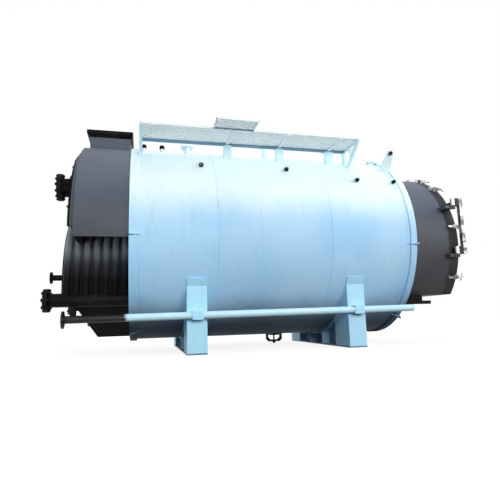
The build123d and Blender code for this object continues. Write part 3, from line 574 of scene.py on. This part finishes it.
def lone_bolt(name, fastener):
    """One hex nut with its stud end, on the Z axis."""
    return bolts(name, 0.0, 1, fastener)


def stand(piece, centre, axis, turn=0.0):
    """Move a piece modelled about Z to its place, with its Z along an axis."""
    only(piece)
    aim = Vector(axis).to_track_quat("Z", "Y").to_matrix()
    piece.matrix_world = Matrix.Translation(centre) @ (aim @ Matrix.Rotation(turn, 3, "Z")).to_4x4()
    return settle()


def copy_of(piece, name):
    """Another piece of the same shape, with its own mesh."""
    only(piece)
    bpy.ops.object.duplicate(linked=False)
    twin = bpy.context.active_object
    twin.name = name
    return twin


def mirrored(piece, name):
    """The same piece on the boiler's far side."""
    twin = copy_of(piece, name)
    twin.scale.y = -1
    settle()
    edit_all()
    close_up()
    return twin


def joined(name, pieces):
    """Several pieces as one."""
    only(pieces[0])
    for piece in pieces[1:]:
        piece.select_set(True)
    bpy.ops.object.join()
    return settle(name)


def fit(piece, slot, body="boiler", finish=None, sharp=ROUND_SHARP):
    """Give a finished piece its finish and the body it rides on."""
    only(piece)
    bpy.ops.object.shade_smooth_by_angle(angle=math.radians(sharp))
    piece.data.materials.clear()
    piece.data.materials.append(finish or finishes[slot])
    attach(piece, body)


# Pieces on the shell

def weld_seam(name, x):
    """A weld bead round the shell."""
    bpy.ops.mesh.primitive_circle_add(vertices=BEAD_STEPS, radius=SEAM_RADIUS,
                                      location=(x, -SHELL_RADIUS, AXIS_Z))
    piece = settle(name)
    edit_all()
    bpy.ops.mesh.spin(steps=FINE_STEPS, angle=math.tau, center=(x, 0, AXIS_Z), axis=RIGHTWARD)
    close_up()
    fit(piece, "shell_paint")


def eye_shade_bushes():
    """Black bushes in the eyes of the lifting lugs, a dark piece standing in for the shade inside the
    eyes.
    """
    eyes = [mount for mount in frame["record"]["mounts"] if mount["name"].startswith("lift_eye")]
    model = ring("eye_shade_bush", BUSH_BORE, BUSH_RADIUS, BUSH_LENGTH, BUSH_STEPS)
    bushes = []
    for number, eye in enumerate(eyes):
        axis = Vector(eye["axis"])
        bush = copy_of(model, f"eye_shade_bush_{number}")
        bushes.append(stand(bush, Vector(eye["pos_m"]) - BUSH_LENGTH / 2 * axis, axis))
    bpy.data.objects.remove(model)
    fit(joined("eye_shade_bushes", bushes), "black_paint")


def flange_bolts():
    """Bolts on the headers' blanks and the inspection nozzles' covers, with nuts behind the flanges."""
    blank_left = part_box("blank_flanges")[0].x
    headers_low, headers_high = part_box("headers")
    header_y = headers_low.y + HEADER_FLANGE_RADIUS
    header_z = (headers_low.z + headers_high.z) / 2
    hatch_y = HATCHES_LOW.y + HATCH_FLANGE_RADIUS
    pieces = []
    for sign in (1, -1):
        heads = bolts("header_bolts", HEADER_CIRCLE, HEADER_BOLT_COUNT, HEADER_BOLT)
        pieces.append(stand(heads, (blank_left, sign * header_y, header_z), LEFTWARD))
        nuts = bolts("header_nuts", HEADER_CIRCLE, HEADER_BOLT_COUNT, HEADER_NUT)
        pieces.append(stand(nuts, (headers_low.x + FLANGE_THICK, sign * header_y, header_z), RIGHTWARD))
        heads = bolts("hatch_bolts", HATCH_CIRCLE, HATCH_BOLT_COUNT, HATCH_BOLT)
        pieces.append(stand(heads, (HATCHES_LOW.x - FLANGE_THICK, sign * hatch_y, HATCH_Z), LEFTWARD))
        nuts = bolts("hatch_nuts", HATCH_CIRCLE, HATCH_BOLT_COUNT, HATCH_BOLT)
        pieces.append(stand(nuts, (HATCHES_LOW.x + FLANGE_THICK, sign * hatch_y, HATCH_Z), RIGHTWARD))
    fit(joined("flange_bolts", pieces), "black_paint", sharp=HEX_SHARP)


def nozzle_fittings():
    """Nuts under the closed crown nozzles' flanges, and black caps on the gauge stubs."""
    nuts = []
    for node, circle in (("feed_nozzle", FEED_CIRCLE), ("vent_nozzle", VENT_CIRCLE)):
        low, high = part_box(node)
        middle = (low + high) / 2
        under = bolts(f"{node}_nuts", circle, NOZZLE_NUT_COUNT, NOZZLE_NUT)
        nuts.append(stand(under, (middle.x, middle.y, high.z - NOZZLE_FLANGE_THICK), DOWNWARD))
    fit(joined("nozzle_nuts", nuts), "shell_paint", sharp=HEX_SHARP)
    low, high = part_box("gauge_stubs")
    radius = high.y
    caps = []
    for x in (low.x + radius, high.x - radius):
        cap = disc("gauge_cap", radius + CAP_WALL, CAP_HEIGHT, CAP_STEPS)
        caps.append(stand(cap, (x, 0, high.z - CAP_GRIP), UPWARD))
    fit(joined("gauge_caps", caps), "black_paint")


# Walkways

def perforated(name, low, high):
    """A plate with staggered round holes, its top at the higher corner."""
    size = high - low
    middle = (low + high) / 2
    bpy.ops.mesh.primitive_grid_add(x_subdivisions=round(size.x / HOLE_CELL),
                                    y_subdivisions=round(size.y / HOLE_CELL),
                                    size=1, location=(middle.x, middle.y, high.z))
    piece = settle(name, (size.x, size.y, 1))
    columns = len({round(point.co.x, 5) for point in piece.data.vertices}) - 1
    rows = len({round(point.co.y, 5) for point in piece.data.vertices}) - 1

    def is_hole(face):
        column = int((face.center.x - low.x) / size.x * columns)
        row = int((face.center.y - low.y) / size.y * rows)
        return 0 < column < columns - 1 and 0 < row < rows - 1 and (column + row) % 2 == 0

    choose(piece, is_hole)
    bpy.ops.mesh.inset(thickness=HOLE_MARGIN_SHARE * HOLE_CELL, use_individual=True)
    bpy.ops.mesh.bevel(offset=HOLE_CORNER_SHARE * HOLE_CELL, affect="VERTICES")
    object_mode()
    choose(piece, lambda face: len(face.vertices) == HOLE_CORNERS)
    drop_faces()
    plate = piece.modifiers.new("plate", "SOLIDIFY")
    plate.thickness = DECK_PLATE
    plate.offset = -1
    bpy.ops.object.modifier_apply(modifier="plate")
    return piece


def channel(name, low, high, side):
    """A beam with a hollow on the face that looks to one side."""
    piece = block(name, low, high, BEAM_EDGE)
    choose(piece, lambda face: face.normal.dot(side) > FACING and face.area > WIDE_FACE)
    step_faces(BEAM_FLANGE, -BEAM_HOLLOW * side)
    object_mode()
    return piece


def walkways():
    """Perforated decks with rims, near white as painted glare, dark beams as painted shade, and landings,
    near side and far.
    """
    low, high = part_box("near_walkway")
    apart_low, apart_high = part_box("walkway_landings")
    outer_y, inner_y = low.y, high.y
    under = high.z - DECK_PLATE
    deck = perforated("near_deck", low + DECK_SETBACK * BACKWARD, high)
    sides = [
        block("outer_rim", (low.x, outer_y, high.z - RIM_DROP), (high.x, outer_y + RIM_WIDTH, high.z)),
        block("left_rim", (low.x, outer_y, low.z), (low.x + RIM_WIDTH, inner_y, under)),
        block("right_rim", (high.x - RIM_WIDTH, outer_y, low.z), (high.x, inner_y, under)),
    ]
    near = joined("near_deck", [deck] + sides)
    corner = Vector((apart_high.x, outer_y, apart_high.z))
    meeting_y = outer_y - RIM_WIDTH
    shelf = perforated("near_landing", apart_low + DECK_SETBACK * BACKWARD, corner)
    ends = [
        block("landing_left", apart_low, (apart_low.x + RIM_WIDTH, meeting_y, apart_high.z)),
        block("landing_right", (corner.x - RIM_WIDTH, apart_low.y, apart_low.z),
              (corner.x, meeting_y, corner.z)),
        block("landing_outer", apart_low, (apart_high.x, apart_low.y + RIM_WIDTH, apart_high.z)),
    ]
    landing = joined("near_landing", [shelf] + ends)
    inner = channel("inner_beam", (low.x, inner_y - RIM_WIDTH, low.z), (high.x, inner_y, under), BACKWARD)
    edge = block("landing_edge", (apart_low.x, meeting_y, apart_low.z), corner)
    beams = joined("near_beams", [inner, edge])
    far_deck = mirrored(near, "far_deck")
    far_landing = mirrored(landing, "far_landing")
    far_beams = mirrored(beams, "far_beams")
    for piece in (near, landing, far_deck, far_landing):
        fit(piece, "walkway_paint", sharp=PLATE_SHARP)
    # The beams are dark blue as painted shade
    for piece in (beams, far_beams):
        fit(piece, "walkway_paint", finish=shade_blue_finish, sharp=PLATE_SHARP)
    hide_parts("near_walkway")
    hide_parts("far_walkway")
    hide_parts("walkway_landings")


# Left end

def wedge(name, length, height, thick):
    """A triangular gusset in the XZ plane, with its right angle at the origin."""
    piece = block(name, (0, -thick / 2, 0), (height, thick / 2, length), GUSSET_EDGE)
    cut_off((height, 0, 0), (length, 0, height))
    return piece


def hatch_gussets():
    """Eight gussets round each inspection nozzle's neck."""
    pieces = []
    for y in (HATCHES_LOW.y + HATCH_FLANGE_RADIUS, HATCHES_HIGH.y - HATCH_FLANGE_RADIUS):
        gusset = wedge("hatch_gusset", GUSSET_LENGTH, GUSSET_HEIGHT, GUSSET_THICK)
        edit_all()
        bpy.ops.transform.translate(value=(GUSSET_FOOT_RADIUS, 0, 0))
        copies_round(GUSSET_COUNT)
        object_mode()
        pieces.append(stand(gusset, (HATCHES_HIGH.x, y, HATCH_Z), LEFTWARD))
    fit(joined("hatch_gussets", pieces), "black_paint")


def smokebox_trim():
    """A bolted rim on the left smokebox's cover, lips along its lower edges and a hanger by its outlet."""
    rim_radius = COVER_HIGH.y - COVER_MARGIN
    rim = ring("cover_rim", rim_radius - COVER_RIM_WIDTH, rim_radius, COVER_RIM_DEPTH, FINE_STEPS)
    stand(rim, (COVER_LOW.x, 0, AXIS_Z), LEFTWARD)
    cut_off((0, 0, COVER_LOW.z + COVER_RIM_LIFT), DOWNWARD)
    circle = rim_radius - COVER_BOLT_INSET
    heads = bolts("cover_bolts", circle, COVER_BOLT_COUNT, COVER_BOLT, COVER_BOLT_TURN)
    stand(heads, (COVER_LOW.x - COVER_RIM_DEPTH, 0, AXIS_Z), LEFTWARD, COVER_BOLT_START)
    fit(joined("cover_rim", [rim, heads]), "black_paint", sharp=HEX_SHARP)
    lip = block("box_lip", (BOX_LOW.x, -SHELL_RADIUS - LIP_PROUD, BOX_LOW.z - LIP_BELOW),
                (SHELL_LEFT - LIP_CLEAR, -SHELL_RADIUS + LIP_DEPTH, BOX_LOW.z + LIP_ABOVE))
    fit(joined("box_lips", [lip, mirrored(lip, "far_lip")]), "smokebox_paint")
    outlet_low, outlet_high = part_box("outlet_flange")
    corner = Vector((outlet_high.x, outlet_low.y, outlet_low.z))
    fit(block("outlet_hanger", corner + HANGER_LOW, corner + HANGER_HIGH), "black_paint")


def chamber_door():
    """A bolted cleaning door on the reversal chamber's end wall."""
    x = WALL_LOW.x
    middle_z = (WALL_LOW.z + WALL_HIGH.z) / 2
    leaf = block("chamber_leaf", (x - LEAF_THICK, -LEAF_HALF_WIDTH, middle_z - LEAF_DOWN),
                 (x, LEAF_HALF_WIDTH, middle_z + LEAF_UP), LEAF_EDGE)
    choose(leaf, lambda face: face.normal.x < -FACING and face.area > WIDE_FACE)
    step_faces(PANEL_MARGIN, PANEL_RISE * LEFTWARD)
    object_mode()
    reach = LEAF_HALF_WIDTH - PANEL_MARGIN
    bars = []
    for rise in LEAF_BAR_RISES:
        z = middle_z + rise
        bars.append(block("leaf_bar", (x - LEAF_BAR_FRONT, -reach, z - LEAF_BAR_HALF_HEIGHT),
                          (x - LEAF_BAR_BACK, reach, z + LEAF_BAR_HALF_HEIGHT)))
    heads = []
    for y in LEAF_BOLT_SIDES:
        for rise in LEAF_BOLT_RISES:
            head = lone_bolt("leaf_bolt", LEAF_BOLT)
            heads.append(stand(head, (x - LEAF_THICK, y, middle_z + rise), LEFTWARD))
    fit(joined("chamber_door", [leaf] + bars + heads), "black_paint", sharp=PLATE_SHARP)


# Right smokebox and its door

def tube_ends():
    """The fire tubes' ends on the end plate inside the right smokebox."""
    piece = ring("tube_ends", TUBE_BORE, TUBE_RADIUS, TUBE_STAND, THIN_STEPS, TUBE_EDGE)
    across = 2 * int(TUBE_FIELD / TUBE_PITCH) + 1
    for step in (TUBE_PITCH * RIGHTWARD, TUBE_PITCH * BACKWARD):
        spread = piece.modifiers.new("spread", "ARRAY")
        spread.count = across
        spread.use_relative_offset = False
        spread.use_constant_offset = True
        spread.constant_offset_displace = step
        bpy.ops.object.modifier_apply(modifier="spread")
    middle = (across - 1) / 2 * TUBE_PITCH
    edit_all()
    bpy.ops.transform.translate(value=(-middle, -middle, 0))
    object_mode()

    def unseen(face):
        column = round(face.center.x / TUBE_PITCH) * TUBE_PITCH
        row = round(face.center.y / TUBE_PITCH) * TUBE_PITCH
        return math.hypot(column, row) > TUBE_FIELD or face.center.z < HIDDEN_BELOW

    choose(piece, unseen)
    drop_faces()
    stand(piece, (SHELL_RIGHT, 0, AXIS_Z), RIGHTWARD)
    fit(piece, "bare_steel")


def door_lining():
    """The fire-clay panel on the door's inner face."""
    piece = disc("door_lining", LINING_RADIUS, LINING_THICK, FINE_STEPS, LINING_EDGE)
    choose(piece, lambda face: face.normal.z > FACING)
    step_faces(LINING_STEP, LINING_RISE * UPWARD)
    object_mode()
    stand(piece, (DOOR_LOW.x, 0, DOOR_AXIS_Z), LEFTWARD)
    cut_off((0, 0, DOOR_LOW.z + LINING_LIFT), DOWNWARD)
    fit(piece, "smokebox_paint", "door", lining_finish)


def door_fittings():
    """Nuts and tommy bars on the door's clamps, and a sight port in its middle."""
    reach = DOOR_RADIUS + DOG_OFFSET
    pieces = []
    for angle in DOG_ANGLES:
        turn = math.radians(angle)
        outward = Vector((0, -math.cos(turn), math.sin(turn)))
        across = outward.cross(RIGHTWARD)
        middle = Vector((0, 0, DOOR_AXIS_Z)) + reach * outward
        nut = lone_bolt("dog_nut", DOG_NUT)
        pieces.append(stand(nut, middle + (DOGS_LOW.x + DOG_NUT_SEAT) * RIGHTWARD, RIGHTWARD))
        bar = disc("dog_bar", TOMMY_RADIUS, TOMMY_LENGTH, THIN_STEPS, TOMMY_EDGE)
        end = middle + (DOGS_HIGH.x - TOMMY_SETBACK) * RIGHTWARD - TOMMY_LENGTH / 2 * across
        pieces.append(stand(bar, end, across))
    fit(joined("dog_nuts", pieces), "bare_steel", "door")
    rim = ring("port_rim", PORT_BORE, PORT_RADIUS, PORT_DEPTH, PORT_STEPS, PORT_EDGE)
    heads = bolts("port_bolts", PORT_CIRCLE, PORT_BOLT_COUNT, PORT_BOLT)
    glass = disc("port_glass", GLASS_RADIUS, GLASS_THICK, PORT_STEPS)
    port = joined("sight_port", [rim, heads, glass])
    stand(port, (DOGS_LOW.x + PORT_SEAT, 0, DOOR_AXIS_Z + PORT_RISE), RIGHTWARD)
    fit(port, "black_paint", "door")


def hinge_fittings():
    """Sleeves on the hinge knuckles, bright as a painted highlight, and bolts through the upright bar in
    front of them.
    """
    hinge_x, hinge_y = frame["record"]["behaviour"]["joints"][0]["pos_m"][:2]
    bar_x = DOOR_HIGH.x + HINGE_BAR_STAND
    sleeve_length = KNUCKLE_HEIGHT - 2 * SLEEVE_MARGIN
    sleeves, heads = [], []
    for rise in KNUCKLE_RISES:
        foot = AXIS_Z + rise
        sleeve = ring("hinge_sleeve", SLEEVE_BORE, SLEEVE_RADIUS, sleeve_length, SLEEVE_STEPS)
        cut_off((0, 0, 0), RIGHTWARD)
        sleeve.location = (hinge_x, hinge_y, foot + SLEEVE_MARGIN)
        sleeves.append(settle())
        for share in BAR_BOLT_SHARES:
            head = lone_bolt("bar_bolt", BAR_BOLT)
            heads.append(stand(head, (bar_x, hinge_y, foot + share * KNUCKLE_HEIGHT), RIGHTWARD))
    fit(joined("hinge_sleeves", sleeves), "bare_steel", "door", sleeve_glint_finish)
    fit(joined("bar_bolts", heads), "bare_steel", "door", sharp=HEX_SHARP)


def dress_cad_nodes():
    """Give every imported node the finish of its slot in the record, or one of its own."""
    for entry in frame["record"]["subparts"]:
        finish = node_finishes.get(entry["node"], finishes[entry["material_slot"]])
        data = frame["nodes"][entry["node"]].data
        data.materials.clear()
        data.materials.append(finish)


# Light, floor and camera

def seen_directly(tree):
    """One where a ray comes straight from the camera, or by a reflection or through glass."""
    rays = tree.nodes.new("ShaderNodeLightPath")
    first = tree.nodes.new("ShaderNodeMath")
    first.operation = "MAXIMUM"
    tree.links.new(rays.outputs["Is Camera Ray"], first.inputs[0])
    tree.links.new(rays.outputs["Is Glossy Ray"], first.inputs[1])
    both = tree.nodes.new("ShaderNodeMath")
    both.operation = "MAXIMUM"
    tree.links.new(first.outputs[0], both.inputs[0])
    tree.links.new(rays.outputs["Is Transmission Ray"], both.inputs[1])
    return both.outputs[0]


def light_world():
    """A faint bluish sky that lights the object evenly, shown as plain white."""
    world = bpy.data.worlds.new("studio")
    bpy.context.scene.world = world
    world.use_nodes = True
    tree = world.node_tree
    sky = tree.nodes["Background"]
    sky.inputs["Color"].default_value = SKY_TINT
    sky.inputs["Strength"].default_value = SKY_LEVEL
    backdrop = tree.nodes.new("ShaderNodeBackground")
    backdrop.inputs["Color"].default_value = WHITE
    mixer = tree.nodes.new("ShaderNodeMixShader")
    tree.links.new(seen_directly(tree), mixer.inputs[0])
    tree.links.new(sky.outputs[0], mixer.inputs[1])
    tree.links.new(backdrop.outputs[0], mixer.inputs[2])
    tree.links.new(mixer.outputs[0], tree.nodes["World Output"].inputs["Surface"])


def lay_floor():
    """A floor that keeps the object's shadow, fades to plain white and throws little light up."""
    bpy.ops.mesh.primitive_plane_add(size=FLOOR_SIZE, location=(0, 0, 0))
    floor = bpy.context.active_object
    floor.name = "studio_floor"
    floor.data.materials.append(bpy.data.materials.new("floor_white"))
    material = floor.data.materials[0]
    material.use_nodes = True
    tree = material.node_tree
    tree.nodes.remove(tree.nodes["Principled BSDF"])
    place = tree.nodes.new("ShaderNodeTexCoord")
    reach = tree.nodes.new("ShaderNodeVectorMath")
    reach.operation = "LENGTH"
    tree.links.new(place.outputs["Object"], reach.inputs[0])
    fade = tree.nodes.new("ShaderNodeMapRange")
    fade.interpolation_type = "SMOOTHSTEP"
    fade.inputs["From Min"].default_value = FADE_START
    fade.inputs["From Max"].default_value = FADE_END
    fade.inputs["To Min"].default_value = FLOOR_GLOW
    tree.links.new(reach.outputs["Value"], fade.inputs["Value"])
    glow = tree.nodes.new("ShaderNodeEmission")
    tree.links.new(fade.outputs["Result"], glow.inputs["Strength"])
    grounds = []
    for level in (FLOOR_LIT, FLOOR_BOUNCE):
        ground = tree.nodes.new("ShaderNodeBsdfDiffuse")
        ground.inputs["Color"].default_value = (level, level, level, 1.0)
        grounds.append(ground)
    seen = tree.nodes.new("ShaderNodeAddShader")
    tree.links.new(glow.outputs[0], seen.inputs[0])
    tree.links.new(grounds[0].outputs[0], seen.inputs[1])
    mixer = tree.nodes.new("ShaderNodeMixShader")
    tree.links.new(seen_directly(tree), mixer.inputs[0])
    tree.links.new(grounds[1].outputs[0], mixer.inputs[1])
    tree.links.new(seen.outputs[0], mixer.inputs[2])
    tree.links.new(mixer.outputs[0], tree.nodes["Material Output"].inputs["Surface"])


def hang_lamp(name, place, target, size, power):
    """A soft lamp that faces a point."""
    lamp = bpy.data.lights.new(name, "AREA")
    lamp.shape = "RECTANGLE"
    lamp.size, lamp.size_y = size
    lamp.energy = power
    holder = bpy.data.objects.new(name, lamp)
    bpy.context.scene.collection.objects.link(holder)
    holder.location = place
    holder.rotation_euler = (Vector(target) - Vector(place)).to_track_quat("-Z", "Y").to_euler()


def stand_camera():
    """The camera at the photograph's place and tilt."""
    onward = Vector((math.sin(CAMERA_YAW), math.cos(CAMERA_YAW), 0))
    level = Vector((math.cos(CAMERA_YAW), -math.sin(CAMERA_YAW), 0))
    ahead = math.cos(CAMERA_PITCH) * onward + math.sin(CAMERA_PITCH) * UPWARD
    down = ahead.cross(level)
    right = math.cos(CAMERA_ROLL) * level + math.sin(CAMERA_ROLL) * down
    up = math.sin(CAMERA_ROLL) * level - math.cos(CAMERA_ROLL) * down
    lens = bpy.data.cameras.new("photo_camera")
    lens.sensor_width = SENSOR_MM
    lens.lens = SENSOR_MM * FOCAL_PIXELS / IMAGE_PIXELS
    camera = bpy.data.objects.new("photo_camera", lens)
    bpy.context.scene.collection.objects.link(camera)
    camera.matrix_world = Matrix((right, up, -ahead)).transposed().to_4x4()
    camera.location = CAMERA_PLACE
    bpy.context.scene.camera = camera


dress_cad_nodes()
weld_seam("middle_seam", MIDDLE_SEAM_X)
weld_seam("right_seam", RIGHT_SEAM_X)
eye_shade_bushes()
flange_bolts()
nozzle_fittings()
walkways()
hatch_gussets()
smokebox_trim()
chamber_door()
tube_ends()
door_lining()
door_fittings()
hinge_fittings()

light_world()
lay_floor()
for lamp in LAMPS:
    hang_lamp(*lamp)
stand_camera()

bpy.context.scene.view_settings.view_transform = "Standard"
